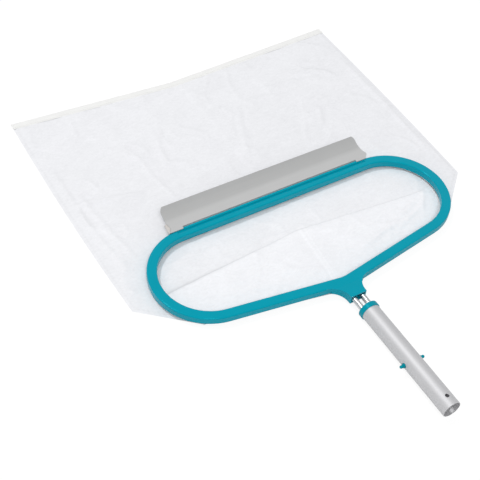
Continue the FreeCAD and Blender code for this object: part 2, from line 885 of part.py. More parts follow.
def make_scoop_blade():
    """Curved blade along the rim's far side, with a foot that stands outside the rim."""
    body = new_body("scoop_blade")
    left_x = d.nick_foot_x - d.blade_thickness
    section = sketch_on(body, "YZ_Plane", "blade_section", shift=left_x)
    draw(section, curved_band(d.blade_r, back_r, d.blade_start_angle, d.blade_end_angle))
    pad(body, section, flare_tip_x + d.blade_thickness - left_x)
    wall_y = far_y + d.rim_half_width + d.flange_wall_gap
    foot = sketch_on(body, "YZ_Plane", "blade_foot", shift=d.blade_tab_left_x)
    draw(foot, box_steps(
        wall_y, wall_y + d.flange_wall_thickness, d.flange_wall_bottom_z, d.flange_wall_top_z))
    pad(body, foot, d.blade_tab_right_x - d.blade_tab_left_x)
    notch = sketch_on(body, "XY_Plane", "blade_notch", shift=d.rim_half_height)
    draw(notch, box_steps(
        d.blade_tab_left_x, d.blade_tab_right_x, far_y, d.blade_root_y + d.blade_notch_depth))
    cut(body, notch, 4 * d.blade_thickness, backwards=True)
    for word, steps in (("left", left_end_steps()), ("right", right_end_steps())):
        end = sketch_on(body, "XY_Plane", f"blade_{word}_end")
        draw(end, steps)
        cut(body, end, 2 * d.blade_r, both_ways=True)


def left_end_steps():
    """Plan of what is cut off the blade's left end: a nick near the root and a round corner."""
    corner_x, corner_y = d.blade_left_x + d.blade_corner_r, blade_top_y - d.blade_corner_r
    outside_x, past_y = d.nick_foot_x - d.blade_corner_r, blade_top_y + d.blade_corner_r
    return [
        line(d.nick_foot_x, d.blade_ends_y),
        line(d.nick_x, d.nick_y),
        line(d.blade_left_x, d.nick_top_y),
        line(d.blade_left_x, corner_y),
        arc(corner_x, blade_top_y, (corner_x, corner_y), d.blade_corner_r, -1),
        line(corner_x, past_y),
        line(outside_x, past_y),
        line(outside_x, d.blade_ends_y),
    ]


def right_end_steps():
    """Plan of what is cut off the blade's right end: a flared foot and a round corner."""
    corner_x, corner_y = d.blade_right_x - d.blade_corner_r, blade_top_y - d.blade_corner_r
    outside_x, past_y = flare_tip_x + d.blade_corner_r, blade_top_y + d.blade_corner_r
    flare_centre = (d.blade_right_x + d.flare_r, d.flare_top_y)
    return [
        line(d.flare_foot_x, d.blade_ends_y),
        line(flare_tip_x, d.flare_low_y),
        line(flare_tip_x, d.flare_tip_y),
        arc(d.blade_right_x, d.flare_top_y, flare_centre, d.flare_r, -1),
        line(d.blade_right_x, corner_y),
        arc(corner_x, blade_top_y, (corner_x, corner_y), d.blade_corner_r, 1),
        line(corner_x, past_y),
        line(outside_x, past_y),
        line(outside_x, d.blade_ends_y),
    ]


def clip_plan(side, inner_x, outer_x, inside, outside):
    """Plan of a band that follows the rim's far side and its end arc between two offsets."""
    centre = (side * d.end_arc_x, arc_centre_y)
    inner_r, outer_r = d.end_arc_r + inside, d.end_arc_r + outside
    reach = outer_x - d.end_arc_x
    return [
        line(side * inner_x, far_y + inside),
        line(side * d.end_arc_x, far_y + inside),
        arc(side * outer_x, arc_centre_y + root(inner_r * inner_r - reach * reach), centre, inner_r, -side),
        line(side * outer_x, arc_centre_y + root(outer_r * outer_r - reach * reach)),
        arc(side * d.end_arc_x, far_y + outside, centre, outer_r, side),
        line(side * inner_x, far_y + outside),
    ]


def make_blade_clip(name, side, inner_x, outer_x):
    """Clip under one end of the blade: it backs the blade, hugs the rim and hooks under it."""
    body = new_body(name)
    inside = d.rim_half_width + d.flange_wall_gap
    outside = inside + d.clip_wall_thickness
    wall = sketch_on(body, "XY_Plane", f"{name}_wall", shift=d.clip_bottom_z)
    draw(wall, clip_plan(side, inner_x, outer_x, inside, outside))
    pad(body, wall, d.clip_wall_top_z - d.clip_bottom_z)
    lip = sketch_on(body, "XY_Plane", f"{name}_lip", shift=d.clip_bottom_z)
    draw(lip, clip_plan(side, inner_x, outer_x, d.clip_lip_inside, outside))
    pad(body, lip, d.clip_lip_top_z - d.clip_bottom_z)
    near_x = side * inner_x if side > 0 else side * outer_x
    cheek = sketch_on(body, "YZ_Plane", f"{name}_cheek", shift=near_x)
    cheek_r = back_r + d.clip_gap
    draw(cheek, curved_band(
        cheek_r, cheek_r + d.clip_cheek_thickness, d.clip_cheek_start_angle, d.clip_cheek_end_angle))
    pad(body, cheek, outer_x - inner_x)
    hollow = sketch_on(body, "YZ_Plane", f"{name}_hollow")
    draw_circle(hollow, curve_centre_y, curve_centre_z, cheek_r)
    cut(body, hollow, 4 * (d.end_arc_x + d.end_arc_r), both_ways=True)
    return body


def make_clip_ear():
    """The ear of the left clip, level with the blade, which fills the nick in the blade's left end."""
    body = new_body("clip_ear")
    band = sketch_on(body, "YZ_Plane", "ear_band", shift=d.ear_left_x)
    ear_r = back_r + 2 * d.clip_gap
    draw(band, curved_band(d.blade_r, ear_r, d.blade_start_angle, d.clip_cheek_end_angle))
    pad(body, band, d.nick_x - d.ear_left_x)
    around = sketch_on(body, "XY_Plane", "ear_around")
    draw(around, box_steps(
        d.ear_left_x - d.ear_bevel_x, d.nick_x + d.ear_bevel_x, far_y, d.nick_top_y + d.ear_bevel_y))
    draw(around, [
        line(d.ear_left_x, d.blade_ends_y),
        line(d.nick_foot_x - d.ear_gap, d.blade_ends_y),
        line(d.nick_x - d.ear_gap, d.nick_y),
        line(d.blade_left_x - d.ear_gap, d.nick_top_y),
        line(d.ear_left_x + d.ear_bevel_x, d.nick_top_y),
        line(d.ear_left_x, d.nick_top_y - d.ear_bevel_y),
    ])
    cut(body, around, 4 * d.blade_r, both_ways=True)
    return body


def make_left_clip():
    """The left clip: the same hook as on the right, with an ear."""
    hook = make_blade_clip("left_clip_hook", -1, d.left_clip_inner_x, d.left_clip_outer_x)
    clip = pair_up("Part::Fuse", "left_blade_clip", hook, make_clip_ear())
    clip.Label = "left_blade_clip"
    # The hook and the ear are one piece, so the clip takes their place in the list.
    subparts[-2:] = [clip]


def make_collar_plug():
    """Plug in the handle's far end, with a flange and two blind holes for the rods."""
    body = new_body("collar_plug")
    flange_end_y = d.tube_length + d.flange_thickness
    flange = sketch_on(body, "XZ_Plane", "plug_flange", shift=-d.tube_length)
    draw_circle(flange, 0, 0, d.flange_r)
    disc = pad(body, flange, d.flange_thickness, backwards=True)
    rims = edges_where(disc.Shape, lambda box: box.YLength < 0.01)
    dress(body, "PartDesign::Fillet", disc, rims, "Radius", d.flange_edge_round)
    insert = sketch_on(body, "XZ_Plane", "plug_insert", shift=-d.insert_start_y)
    draw_circle(insert, 0, 0, d.insert_r)
    pad(body, insert, d.tube_length - d.insert_start_y + d.flange_edge_round, backwards=True)
    rods = sketch_on(body, "XZ_Plane", "plug_rod_holes", shift=-flange_end_y)
    pins_plan = sketch_on(body, "XY_Plane", "plug_pin_holes")
    for side in (1, -1):
        draw_circle(rods, side * d.tail_x, 0, d.rod_hole_r)
        draw_circle(pins_plan, side * d.tail_x, d.pin_y, d.pin_hole_r)
    cut(body, rods, flange_end_y - d.tail_start_y + d.pin_r, backwards=True)
    cut(body, pins_plan, 4 * d.insert_r, both_ways=True)
    rivet = sketch_on(body, "XY_Plane", "plug_rivet_hole", shift=-d.tube_outer_r)
    draw_circle(rivet, 0, d.rivet_y, d.rivet_hole_r)
    cut(body, rivet, d.tube_outer_r + d.rivet_top_z + d.rivet_head_thickness, backwards=True)


def make_rod_pins():
    """The two cross pins that hold the rod's tails in the plug."""
    pins_made = [
        cylinder(
            f"{word}_pin", d.pin_r, 2 * d.pin_half_length, side * d.tail_x, d.pin_y, -d.pin_half_length)
        for side, word in ((-1, "left"), (1, "right"))]
    gather("rod_pins", pins_made)


def make_plug_rivet():
    """Rivet through the handle's underside into the plug."""
    head_top_z = -d.tube_outer_r - d.fit_gap
    head = doc.addObject("Part::Cone", "rivet_head")
    bind(head, "Radius1", d.rivet_head_top_r)
    bind(head, "Radius2", d.rivet_head_r)
    bind(head, "Height", d.rivet_head_thickness)
    bind(head, "Placement.Base.y", d.rivet_y)
    bind(head, "Placement.Base.z", head_top_z - d.rivet_head_thickness)
    shank_z = head_top_z - d.rivet_head_thickness / 2
    shank = cylinder("rivet_shank", d.rivet_r, d.rivet_top_z - shank_z, 0, d.rivet_y, shank_z)
    rivet = pair_up("Part::Fuse", "plug_rivet", head, shank)
    rivet.Label = "plug_rivet"
    subparts.append(rivet)


def make_handle_tube():
    """Handle tube, with a sized socket at its open end and holes for a lock, the buttons and the rivet."""
    body = new_body("handle_tube")
    ring = sketch_on(body, "XZ_Plane", "tube_ring")
    draw_circle(ring, 0, 0, d.tube_outer_r)
    draw_circle(ring, 0, 0, d.tube_inner_r)
    blank = pad(body, ring, d.tube_length, backwards=True)
    reach = d.tube_outer_r.value
    rims = edges_where(blank.Shape, lambda box: box.YMax < 0.01 and box.ZMax > reach - 0.1)
    dress(body, "PartDesign::Chamfer", blank, rims, "Size", d.tube_edge_break)
    socket = sketch_on(body, "XZ_Plane", "tube_socket")
    draw_circle(socket, 0, 0, d.socket_r)
    cut(body, socket, d.socket_depth)
    lock = sketch_on(body, "XY_Plane", "tube_lock_hole")
    draw_circle(lock, 0, d.lock_hole_y, d.lock_hole_r)
    cut(body, lock, 4 * d.tube_outer_r, both_ways=True)
    sides = sketch_on(body, "YZ_Plane", "tube_button_holes")
    draw_circle(sides, d.button_y, 0, d.button_hole_r)
    cut(body, sides, 4 * d.tube_outer_r, both_ways=True)
    below = sketch_on(body, "XY_Plane", "tube_rivet_hole", shift=-2 * d.tube_outer_r)
    draw_circle(below, 0, d.rivet_y, d.rivet_hole_r)
    cut(body, below, 2 * d.tube_outer_r, backwards=True)


def make_v_clip_bow():
    """Bow of the spring clip, which rests against the plug."""
    body = new_body("v_clip_bow")
    half = d.spring_thickness / 2
    outer_r, inner_r = d.bow_r + half, d.bow_r - half
    centre = (as_size(0), d.bow_centre_y)
    plan = sketch_on(body, "XY_Plane", "bow_plan")
    draw(plan, [
        line(outer_r, d.bow_centre_y),
        arc(-outer_r, d.bow_centre_y, centre, outer_r, 1),
        line(-inner_r, d.bow_centre_y),
        arc(inner_r, d.bow_centre_y, centre, inner_r, -1),
    ])
    pad(body, plan, d.spring_width, both_ways=True)


def make_clip_leg(name, side):
    """One leg of the spring clip, with the hole for its button."""
    body = new_body(name)
    half = d.spring_thickness / 2
    start_y = d.bow_centre_y - d.leg_gap
    inner_x = d.leg_outer_x - d.spring_thickness
    plan = sketch_on(body, "XY_Plane", f"{name}_plan")
    draw(plan, [
        line(side * (d.bow_r + half), start_y),
        line(side * d.leg_outer_x, d.leg_shoulder_y),
        line(side * d.leg_outer_x, d.leg_end_y),
        line(side * inner_x, d.leg_end_y),
        line(side * inner_x, d.leg_shoulder_y),
        line(side * (d.bow_r - half), start_y),
    ])
    pad(body, plan, d.spring_width, both_ways=True)
    hole = sketch_on(body, "YZ_Plane", f"{name}_hole")
    draw_circle(hole, d.button_y, 0, d.button_shank_r)
    cut(body, hole, 4 * d.leg_outer_x, both_ways=True)


def make_button(name, side):
    """One button: a base that fills the handle's hole, a round tip, and a shank riveted in the leg."""
    body = new_body(name)
    inner_x = d.leg_outer_x - d.spring_thickness
    round_x = d.button_tip_x - d.button_tip_round
    flat_r = d.button_tip_r - d.button_tip_round
    half = sketch_on(body, "XY_Plane", f"{name}_half", along=d.button_y)
    draw(half, [
        line(side * (inner_x - d.button_head_thickness), 0),
        line(side * d.button_tip_x, 0),
        line(side * d.button_tip_x, flat_r),
        arc(side * round_x, d.button_tip_r, (side * round_x, flat_r), d.button_tip_round, side),
        line(side * d.button_base_x, d.button_tip_r),
        line(side * d.button_base_x, d.button_base_r),
        line(side * d.leg_outer_x, d.button_base_r),
        line(side * d.leg_outer_x, d.button_shank_r),
        line(side * inner_x, d.button_shank_r),
        line(side * inner_x, d.button_head_r),
        line(side * (inner_x - d.button_head_thickness), d.button_head_r),
    ])
    turned = body.newObject("PartDesign::Revolution", f"{name}_turned")
    turned.Profile = half
    turned.ReferenceAxis = (half, ["H_Axis"])
    turned.Angle = 360
    half.Visibility = False


def check_and_export():
    """Stop on any failed object, then write each sub-part to its own file."""
    doc.recompute()
    for thing in doc.Objects:
        if "Invalid" in thing.State or "Error" in thing.State:
            raise RuntimeError(f"{thing.Name} failed: {thing.State}")
    os.makedirs("parts", exist_ok=True)
    for part in subparts:
        shape = part.Shape
        if shape.isNull() or not shape.isValid():
            raise RuntimeError(f"{part.Label} has no valid shape")
        shape.exportStep(f"parts/{part.Label}.step")
        box = shape.BoundBox
        print(f"{part.Label:16} solids {len(shape.Solids)}  volume {shape.Volume:9.0f}  "
              f"x {box.XMin:7.1f} {box.XMax:6.1f}  y {box.YMin:6.1f} {box.YMax:6.1f}  "
              f"z {box.ZMin:6.1f} {box.ZMax:6.1f}")


make_rim_cover()
make_rim_base_strip()
make_yoke_base()
make_yoke_screws()
make_hoop_rod()
make_mouth_band()
make_net_bag()
make_bag_end_tape()
make_scoop_blade()
make_left_clip()
make_blade_clip("right_blade_clip", 1, d.right_clip_inner_x, d.right_clip_outer_x)
make_collar_plug()
make_rod_pins()
make_plug_rivet()
make_handle_tube()
make_v_clip_bow()
make_clip_leg("left_clip_leg", -1)
make_clip_leg("right_clip_leg", 1)
make_button("left_button", -1)
make_button("right_button", 1)
check_and_export()
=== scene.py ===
import math

import bpy
import numpy as np
from mathutils import Matrix, Vector
from mathutils.geometry import delaunay_2d_cdt


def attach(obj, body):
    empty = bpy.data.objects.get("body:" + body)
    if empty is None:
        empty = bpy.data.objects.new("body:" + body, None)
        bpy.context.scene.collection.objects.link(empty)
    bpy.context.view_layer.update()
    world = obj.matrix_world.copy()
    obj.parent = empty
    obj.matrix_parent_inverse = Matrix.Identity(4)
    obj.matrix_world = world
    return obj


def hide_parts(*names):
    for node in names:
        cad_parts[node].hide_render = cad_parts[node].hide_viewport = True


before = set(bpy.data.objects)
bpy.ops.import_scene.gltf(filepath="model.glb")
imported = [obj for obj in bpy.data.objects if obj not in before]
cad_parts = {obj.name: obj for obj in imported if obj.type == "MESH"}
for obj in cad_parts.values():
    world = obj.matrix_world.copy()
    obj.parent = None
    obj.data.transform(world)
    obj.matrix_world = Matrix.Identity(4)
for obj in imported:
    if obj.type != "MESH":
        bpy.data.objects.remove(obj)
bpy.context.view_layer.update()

# Leaf skimmer net, in metres. The origin is the centre of the handle's open end, +Y runs along the handle
# to the net, +X is to the right and +Z is up. The net lies on a surface that rises a little along +Y.

# Photograph's view: the focal length in pixels, and the camera's place, its right and the way behind it
PHOTO_WIDTH = 480
FOCAL_LENGTH = 1029.28
FILM_WIDTH = 36.0
CAMERA_PLACE = (-0.7423, -0.4834, 1.2212)
CAMERA_RIGHT = (0.8555, -0.5129, 0.0711)
CAMERA_BACK = (-0.3890, -0.5462, 0.7418)

# Light and stage
WHITE = (1.0, 1.0, 1.0, 1.0)
FLOOR_TONE = (0.80, 0.80, 0.80, 1.0)
FLOOR_GLOW = 0.90
FLOOR_SHADE_TONE = (0.13, 0.13, 0.13, 1.0)
FLOOR_HALF = 9.0
FLOOR_MIDDLE_Y = 0.45
FLOOR_GAP = 0.0002
WORLD_LIGHT = 0.61
LAMP_TARGET = (0.0, 0.4, 0.0)

# Rim's loop, along the middle of its section
FAR_BAR_Y = 0.4676
END_ARC_X = 0.1808
END_ARC_R = 0.0873
NEAR_SLOPE = math.radians(8.8)
VERTEX_R = 0.060
ARC_CENTRE_Y = FAR_BAR_Y - END_ARC_R
VERTEX_Y = (ARC_CENTRE_Y - END_ARC_R * math.cos(NEAR_SLOPE)
            - (END_ARC_X + END_ARC_R * math.sin(NEAR_SLOPE)) * math.tan(NEAR_SLOPE))
VERTEX_CENTRE_Y = VERTEX_Y + VERTEX_R / math.cos(NEAR_SLOPE)

# Surface that the net lies on: its height at one place, and how it rises from there
GROUND_Y = 0.206
GROUND_Z = -0.0165
GROUND_TILT = math.radians(1.295)

# Blade's painted light and shade: its foot is painted palest up to one height, and above the other it is
# painted slowly darker up to its top, as light falls on its curve. The paces say how fast each change runs,
# for each metre of height.
BLADE_PAINTED_LIGHT_FOOT_Z = 0.0132
BLADE_PAINTED_LIGHT_FOOT_PACE = 385.0
BLADE_PAINTED_SHADE_Z = 0.0158
BLADE_PAINTED_SHADE_PACE = 90.0

# Band of cloth: a sleeve round the hoop, and a wall that hangs from it inside the rim down to the bag.
# Each wave has its height, its pace in radians a metre and its start.
BAND_SPACING = 0.0022
SLEEVE_R = 0.0048
SLEEVE_ANGLES = np.radians(np.linspace(-60, 180, 13))
WALL_OFFSET = -0.0053
WALL_SHARES = np.linspace(0.0, 1.0, 7)[1:]
WALL_FOOT_LIFT = 0.0022
BAND_WAVES = [(0.00021, 310, 0), (0.00015, 129, 1)]

# Bag's outline on the ground, counterclockwise from the near left corner
NEAR_LEFT = (-0.3151, 0.3750)
TUCK_LEFT = (-0.2301, 0.3035)
NEAR_MIDDLE = (0.0, 0.2590)
TUCK_RIGHT = (0.2460, 0.3110)
NEAR_RIGHT = (0.3275, 0.3851)
RIGHT_BULGE = (0.3300, 0.6072)
FAR_RIGHT = (0.3265, 0.8270)
FAR_MIDDLE = (-0.0158, 0.8106)
FAR_LEFT = (-0.3186, 0.8312)
LEFT_BULGE = (-0.3212, 0.5900)
FAR_EDGE = [FAR_LEFT, FAR_MIDDLE, FAR_RIGHT]

# Bag's layers: heights above the ground, and the distances over which they change. JOINED is the outline,
# where the layers meet, and COVERED is the lower layer where the upper one lies on it.
BAG_SPACING = 0.0030
JOINED_Z = 0.0009
JOINED_REACH = 0.007
UPPER_Z = 0.0016
UPPER_LEAST_Z = 0.0011
UPPER_CALM_EDGE = 0.02
UPPER_CALM_MOUTH = 0.01
MOUTH_RISE = 0.0009
MOUTH_RISE_REACH = 0.012
SLOPE_FROM_TAPE = 0.4
LOWER_Z = 0.0010
LOWER_LEAST_Z = 0.0006
LOWER_DIP_REACH = 0.02
COVERED_Z = 0.0004

# Cross crease: the cloth steps up on its near side, which is painted lighter, and a painted shadow line and
# painted shade lie just beyond it, most of all to the left
CREASE_STEP = 0.0016
CREASE_RISE = 0.0010
CREASE_RISE_REACH = 0.05
CREASE_ROWS = (-0.0009, 0.0009, 0.0030)
CREASE_PAINTED_SHADOW_LINE = 0.0012
CREASE_PAINTED_SHADOW_GROWTH = 0.0008
CREASE_PAINTED_SHADE_REACH = 0.010
CREASE_PAINTED_SHADE_START_X = 0.02
CREASE_PAINTED_SHADE_WIDTH = 0.24

# Lines that show in the cloth: the seam inside the outline, and the centre fold and its seam in the mouth
EDGE_SEAM_INSET = 0.0055
EDGE_SEAM_HALF = 0.0010
CENTRE_FOLD_HALF = 0.0036
CENTRE_SEAM_HALVES = (0.0035, 0.0060)
CENTRE_SEAM_RISE = 0.0005
LINE_SOFTNESS = 0.0012

# Creases and folds that the bag lies in, as chains of points on the ground
CROSS_CREASE = [NEAR_LEFT, (-0.2502, 0.3790), (-0.0032, 0.3974), (0.2344, 0.3772), NEAR_RIGHT]
FOLD_CROSSING = (0.0062, 0.3970)
CENTRE_FOLD = [(-0.0158, 0.8100), (-0.0037, 0.7754), (0.0015, 0.5639), FOLD_CROSSING]
CENTRE_SEAM = [FOLD_CROSSING, (-0.0043, 0.2700)]

# Each fold has its points, its width and its height.
UPPER_FOLDS = [
    ([(-0.3056, 0.6050), (-0.2598, 0.5996), (-0.1772, 0.5812)], 0.0060, 0.00286),
    ([(-0.3016, 0.7125), (-0.3000, 0.5547), (-0.2850, 0.4354)], 0.0045, 0.00208),
    ([(-0.2880, 0.6500), (-0.2760, 0.5300), (-0.2600, 0.4500)], 0.0050, 0.00156),
    ([(0.1967, 0.7302), (0.2359, 0.7277), (0.2640, 0.7113), (0.2803, 0.6845)], 0.0060, 0.00286),
    ([(0.1096, 0.7215), (0.1874, 0.7157), (0.2506, 0.7016)], 0.0050, 0.00234),
    ([(-0.1016, 0.7108), (-0.1156, 0.6619), (-0.1197, 0.6287), (-0.0689, 0.6038)], 0.0055, 0.00234),
    ([(0.1997, 0.6391), (0.1735, 0.5836)], 0.0055, 0.00208),
    ([(0.0629, 0.7045), (0.0109, 0.5728)], 0.0065, 0.00182),
    ([(0.3120, 0.4300), (0.3150, 0.6000), (0.3120, 0.7600)], 0.0045, 0.00182),
]
LOWER_FOLDS = [
    ([(0.2302, 0.3689), (0.1550, 0.3400), (0.0530, 0.3140)], 0.0045, 0.00176),
    ([(0.1982, 0.3411), (0.1500, 0.3330), (0.1023, 0.3297)], 0.0035, 0.00144),
    ([(0.2322, 0.3574), (0.1950, 0.3400), (0.1418, 0.3220)], 0.0035, 0.00160),
    ([(0.2450, 0.3800), (0.2250, 0.3550), (0.2100, 0.3350)], 0.0040, 0.00160),
    ([(-0.1340, 0.3607), (-0.0722, 0.3405), (-0.0306, 0.3170)], 0.0070, 0.00112),
    ([(-0.1935, 0.3360), (-0.1200, 0.3250), (-0.0500, 0.3080)], 0.0060, 0.00128),
    ([(-0.2450, 0.4050), (-0.2200, 0.4250), (-0.1750, 0.4400)], 0.0050, 0.00128),
]

# Swells and rucks that cover a layer. Each has its height, its size and its seed.
UPPER_SWELLS = [(0.00080, 0.085, 3), (0.00048, 0.034, 7)]
UPPER_RUCKS = [(0.0018, 0.105, 11), (0.0016, 0.052, 23)]
LOWER_SWELLS = [(0.0005, 0.060, 31)]
LOWER_RUCKS = [(0.0012, 0.070, 37), (0.0010, 0.038, 41)]

# Tape folded over the bag's far edge. Its section goes from the lower edge round the fold to the upper one,
# as the way out from the bag's edge and the height above the ground.
TAPE_SPACING = 0.004
TAPE_WIDTH = 0.014
TAPE_SECTION = [
    (-TAPE_WIDTH, 0.0004), (-TAPE_WIDTH * 0.97, 0.0002), (-TAPE_WIDTH * 0.6, 0.0001), (-0.0012, 0.0001),
    (-0.0003, 0.0004), (0.0, 0.0010), (-0.0004, 0.0017), (-0.0016, 0.0021),
    (-TAPE_WIDTH * 0.35, 0.0024), (-TAPE_WIDTH * 0.6, 0.0026), (-TAPE_WIDTH * 0.88, 0.0026),
    (-TAPE_WIDTH * 0.97, 0.0021), (-TAPE_WIDTH, 0.0017),
]
TAPE_WAVES = [(0.0002, 260, 0), (0.00025, 71, 2)]
TAPE_CALM_Z = 0.0015
TAPE_MOVING_Z = 0.0025

# Stitches near the tape's inner edge
STITCH_LINE = TAPE_WIDTH * 0.82
STITCH_Z = 0.0027
STITCH_LENGTH = 0.0030
STITCH_WIDTH = 0.0006
STITCH_GAP = 0.0040


class Wire:
    """A socket among the nodes, with arithmetic that adds Math nodes."""

    def __init__(self, shader, socket):
        self.shader, self.socket = shader, socket

    def __add__(self, other):
        return self.shader.maths("ADD", self, other)

    def __sub__(self, other):
        return self.shader.maths("SUBTRACT", self, other)

    def __mul__(self, other):
        return self.shader.maths("MULTIPLY", self, other)

    __radd__ = __add__
    __rmul__ = __mul__


class Shader:
    """The nodes of a material or of the world, built from expressions on wires."""

    def __init__(self, owner):
        owner.use_nodes = True
        self.owner, self.tree = owner, owner.node_tree
        self.tree.nodes.clear()

    def add(self, kind, sockets=None, **settings):
        """A new node: its settings first, then the values or links of its sockets."""
        made = self.tree.nodes.new("ShaderNode" + kind)
        for name, value in settings.items():
            setattr(made, name, value)
        for name, value in (sockets or {}).items():
            if isinstance(value, Wire):
                self.tree.links.new(value.socket, made.inputs[name])
            else:
                made.inputs[name].default_value = value
        return made

    def node(self, kind, sockets=None, out=0, **settings):
        """One output of a new node."""
        return Wire(self, self.add(kind, sockets, **settings).outputs[out])

    def maths(self, operation, *values, clamp=False):
        """A Math node on wires and numbers."""
        return self.node("Math", dict(enumerate(values)), operation=operation, use_clamp=clamp)

    def place(self):
        """The point of the surface, in the object's own coordinates."""
        return self.node("TexCoord", out="Object")

    def axes(self, point):
        """X, Y and Z of a point."""
        return [Wire(self, output) for output in self.add("SeparateXYZ", {0: point}).outputs]

    def stretched(self, point, scale):
        """A point with its axes scaled."""
        return self.node("Mapping", {"Vector": point, "Scale": scale})

    def noise(self, point, scale, detail=2.0, roughness=0.5, swirl=0.0):
        """Soft noise from 0 to 1."""
        return self.node("TexNoise", {
            "Vector": point, "Scale": scale, "Detail": detail, "Roughness": roughness, "Distortion": swirl})

    def between(self, low, high, share):
        """A colour between two others."""
        return self.node("Mix", {"Factor": share, 6: (*low, 1.0), 7: (*high, 1.0)}, out=2, data_type="RGBA")

    def finish(self, colour, roughness, height, depth, strength, **plain):
        """A Principled surface with relief, and the material that it completes."""
        relief = self.node("Bump", {"Height": height, "Distance": depth, "Strength": strength})
        sockets = {"Base Color": colour, "Roughness": roughness, "Normal": relief}
        sockets.update({name.replace("_", " "): value for name, value in plain.items()})
        self.end(self.node("BsdfPrincipled", sockets))
        return self.owner

    def end(self, surface, kind="OutputMaterial"):
        """Join a surface to the output."""
        self.add(kind, {"Surface": surface})


def toned(base, factor):
    """A colour made darker or lighter."""
    return tuple(min(1.0, value * factor) for value in base)


# The rim mirrors its surroundings in its own colour.
SHEEN_TINT = (0.10, 0.85, 1.0, 1.0)


def rim_plastic(name, base, gloss):
    """Moulded plastic: a faint grain, cloudy gloss and slight changes of colour."""
    shader = Shader(bpy.data.materials.new(name))
    point = shader.place()
    clouds = shader.noise(point, scale=22.0, detail=3.0)
    grain = shader.noise(point, scale=1400.0)
    waves = shader.noise(point, scale=90.0)
    return shader.finish(
        shader.between(toned(base, 0.93), toned(base, 1.06), clouds), gloss + 0.07 * clouds,
        0.3 * grain + 0.7 * waves, depth=0.00012, strength=0.35,
        Specular_IOR_Level=0.42, Specular_Tint=SHEEN_TINT)


def blade_plastic(name, base):
    """Extruded plastic, long faint streaks, and painted shade: paler along its foot than higher up."""
    shader = Shader(bpy.data.materials.new(name))
    point = shader.place()
    streaks = shader.noise(shader.stretched(point, (6.0, 320.0, 320.0)), scale=1.0, detail=3.0)
    clouds = shader.noise(point, scale=26.0)
    grain = shader.noise(point, scale=1700.0)
    _, _, z = shader.axes(point)
    # Painted shade: the tone drops just above the pale foot, then slowly up to the top.
    painted_shade_above_foot = shader.maths("MULTIPLY", z - BLADE_PAINTED_LIGHT_FOOT_Z, BLADE_PAINTED_LIGHT_FOOT_PACE, clamp=True)
    painted_shade_to_top = shader.maths("MULTIPLY", z - BLADE_PAINTED_SHADE_Z, BLADE_PAINTED_SHADE_PACE, clamp=True)
    tone = 0.20 * streaks + 0.14 * clouds + 0.63
    tone = shader.maths("SUBTRACT", tone, 0.46 * painted_shade_above_foot + 0.18 * painted_shade_to_top, clamp=True)
    return shader.finish(
        shader.between(toned(base, 0.82), toned(base, 1.10), tone), 0.42 + 0.10 * clouds,
        0.5 * grain + 0.5 * streaks, depth=0.0001, strength=0.3, Specular_IOR_Level=0.4)


def drawn_metal(name, base, gloss, axis, depth, metallic=1.0):
    """Metal with fine lines along one axis: 0, 1 or 2 for X, Y or Z."""
    shader = Shader(bpy.data.materials.new(name))
    point = shader.place()
    scale = [900.0, 900.0, 900.0]
    scale[axis] = 14.0
    lines = shader.noise(shader.stretched(point, scale), scale=1.0, detail=3.0, roughness=0.6)
    smears = shader.noise(shader.stretched(point, [value * 0.05 for value in scale]), scale=1.0)
    return shader.finish(
        shader.between(toned(base, 0.93), base, 0.5 * lines + 0.5 * smears),
        gloss + 0.12 * lines + 0.05 * smears, lines, depth, strength=0.35, Metallic=metallic)


def spring_metal(name, base):
    """Rolled steel strip with a dull, slightly mottled surface."""
    shader = Shader(bpy.data.materials.new(name))
    mottle = shader.noise(shader.place(), scale=700.0, detail=3.0)
    return shader.finish(
        shader.between(toned(base, 0.85), base, mottle), 0.3 + 0.15 * mottle,
        mottle, depth=0.00005, strength=0.3, Metallic=1.0)


def weave(shader, across, along, pitch):
    """Threads of a plain weave as a height from 0 to 1, from two coordinates in metres."""
    turn = math.tau / pitch
    warp = 0.5 + 0.5 * shader.maths("SINE", across * turn)
    weft = 0.5 + 0.5 * shader.maths("SINE", along * turn)
    return shader.maths("MAXIMUM", warp, weft)


def net_cloth(name, base):
    """Fine white net: threads both ways, wispy tone, seams, and painted light and shade from its mesh."""
    shader = Shader(bpy.data.materials.new(name))
    point = shader.place()
    x, y, _ = shader.axes(point)
    threads = weave(shader, x, y, pitch=0.0011)
    clouds = shader.noise(point, scale=16.0, detail=3.0, roughness=0.6, swirl=0.6)
    drawn = shader.stretched(point, (1.0, 1.7, 1.0))
    wisps = shader.noise(drawn, scale=75.0, detail=4.0, roughness=0.6, swirl=1.6)
    grain = shader.noise(point, scale=260.0)
    # The mesh's attribute holds seams, and painted light and shade round the cross crease.
    seams_and_painted_light = shader.node("Attribute", out="Fac", attribute_name="seams_and_painted_light")
    tone = 0.08 * threads + 0.32 * clouds + 0.59 * wisps + 0.28 * grain - 0.06
    return shader.finish(
        shader.between(toned(base, 0.76), base, shader.maths("ADD", tone, seams_and_painted_light, clamp=True)), 0.85,
        0.5 * threads + 0.5 * wisps, depth=0.00015, strength=0.4, Specular_IOR_Level=0.15)


def tape_cloth(name, base):
    """Woven tape: ribs both ways, from its own map."""
    shader = Shader(bpy.data.materials.new(name))
    across, along, _ = shader.axes(shader.node("UVMap"))
    ribs = weave(shader, across, along, pitch=0.0009)
    point = shader.place()
    clouds = shader.noise(point, scale=45.0, detail=3.0)
    fuzz = shader.noise(point, scale=1500.0)
    tone = shader.maths("ADD", 0.5 * ribs, 0.5 * clouds, clamp=True)
    return shader.finish(
        shader.between(toned(base, 0.86), base, tone), 0.88,
        ribs + 0.4 * fuzz, depth=0.00015, strength=0.5,
        Specular_IOR_Level=0.15, Sheen_Weight=0.2, Sheen_Roughness=0.5)


